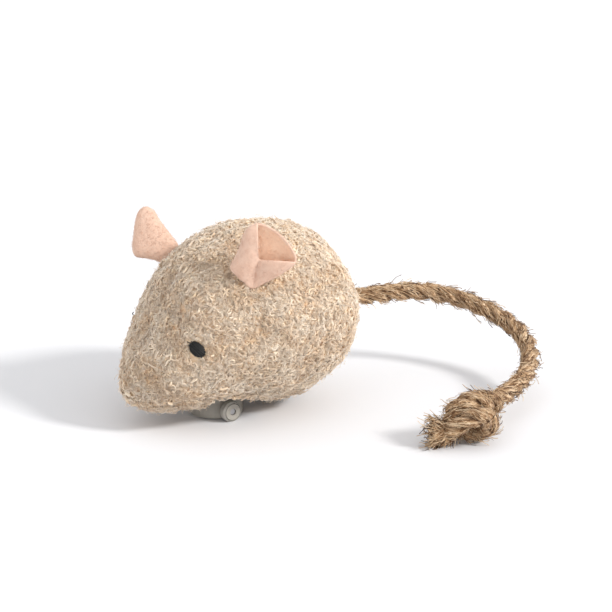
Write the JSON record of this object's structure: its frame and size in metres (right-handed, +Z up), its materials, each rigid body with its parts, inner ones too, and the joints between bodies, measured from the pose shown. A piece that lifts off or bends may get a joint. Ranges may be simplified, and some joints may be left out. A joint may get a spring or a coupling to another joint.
{
  "type": "clockwork mouse",
  "caption": "Wind-up toy mouse: fleece body on a geared spring movement with drive wheels and a rear roller, felt ears, knotted rope tail and winding key.",
  "frame": {"origin": "middle of the underside of the object's box without the tail, on the surface that the wheels stand on", "axes": "+Z up, +Y from nose to tail, +X towards the mouse's left flank"},
  "size_m": [0.1242, 0.1457, 0.0723],
  "materials": {
    "boucle_fleece": "looped pile",
    "polyester_fill": "loose fill",
    "pink_felt": "pressed felt",
    "black_thread": "satin stitch",
    "jute_rope": "twisted, hairy",
    "grey_plastic": "moulded, satin",
    "case_plastic": "moulded, satin",
    "gear_plastic": "moulded, satin",
    "tyre_rubber": "matt",
    "steel": "drawn",
    "plated_key": "plated",
    "brass": "stamped"
  },
  "bodies": {
    "root": {"left_cover_panel": "boucle_fleece", "right_cover_panel": "boucle_fleece", "belly_panel": "boucle_fleece", "stuffing": "polyester_fill", "left_ear": "pink_felt", "right_ear": "pink_felt", "left_eye": "black_thread", "right_eye": "black_thread", "tail_rope": "jute_rope", "tail_knot": "jute_rope", "base_tray": "grey_plastic", "gear_case_left": "case_plastic", "gear_case_right": "case_plastic", "tray_screw_1": "steel", "tray_screw_2": "steel", "tray_screw_3": "steel", "tray_screw_4": "steel", "case_screw_1": "steel", "case_screw_2": "steel", "roller_pin": "steel", "mainspring": "steel", "spring_post": "steel"},
    "drive_line": {"drive_axle": "steel", "axle_pinion": "brass", "left_wheel": "grey_plastic", "right_wheel": "grey_plastic", "left_tyre": "tyre_rubber", "right_tyre": "tyre_rubber"},
    "second_line": {"second_arbor": "steel", "second_wheel": "gear_plastic", "second_pinion": "brass"},
    "great_wheel": {"great_wheel": "brass", "click_pin": "steel"},
    "key_line": {"winding_arbor": "steel", "ratchet_wheel": "steel", "winding_key": "plated_key"},
    "click": {"click": "steel"},
    "rear_roller": {"rear_roller": "grey_plastic"}
  },
  "joints": [
    {"name": "drive_axle_spin", "type": "hinge", "parent": "root", "child": "drive_line", "pos_m": [0.0043, -0.00735, 0.0036], "axis": [1, 0, 0], "continuous": true},
    {"name": "second_line_spin", "type": "hinge", "parent": "root", "child": "second_line", "pos_m": [0.0043, -0.00527, 0.01338], "axis": [1, 0, 0], "continuous": true},
    {"name": "great_wheel_spin", "type": "hinge", "parent": "root", "child": "great_wheel", "pos_m": [0.0043, 0.00048, 0.02334], "axis": [1, 0, 0], "continuous": true},
    {"name": "key_wind", "type": "hinge", "parent": "great_wheel", "child": "key_line", "pos_m": [0.0043, 0.00048, 0.02334], "axis": [1, 0, 0], "continuous": true},
    {"name": "click_lift", "type": "hinge", "parent": "great_wheel", "child": "click", "pos_m": [0.0043, -0.00639, 0.02401], "axis": [1, 0, 0], "range_deg": [0, 14], "stiffness_Nm_per_rad": 0.0005},
    {"name": "rear_roller_spin", "type": "hinge", "parent": "root", "child": "rear_roller", "pos_m": [0.0043, 0.02015, 0.0025], "axis": [1, 0, 0], "continuous": true}
  ],
  "couplings": [
    {"joint": "second_line_spin", "follows": "great_wheel_spin", "ratio": -3.6},
    {"joint": "drive_axle_spin", "follows": "great_wheel_spin", "ratio": 10.8}
  ]
}
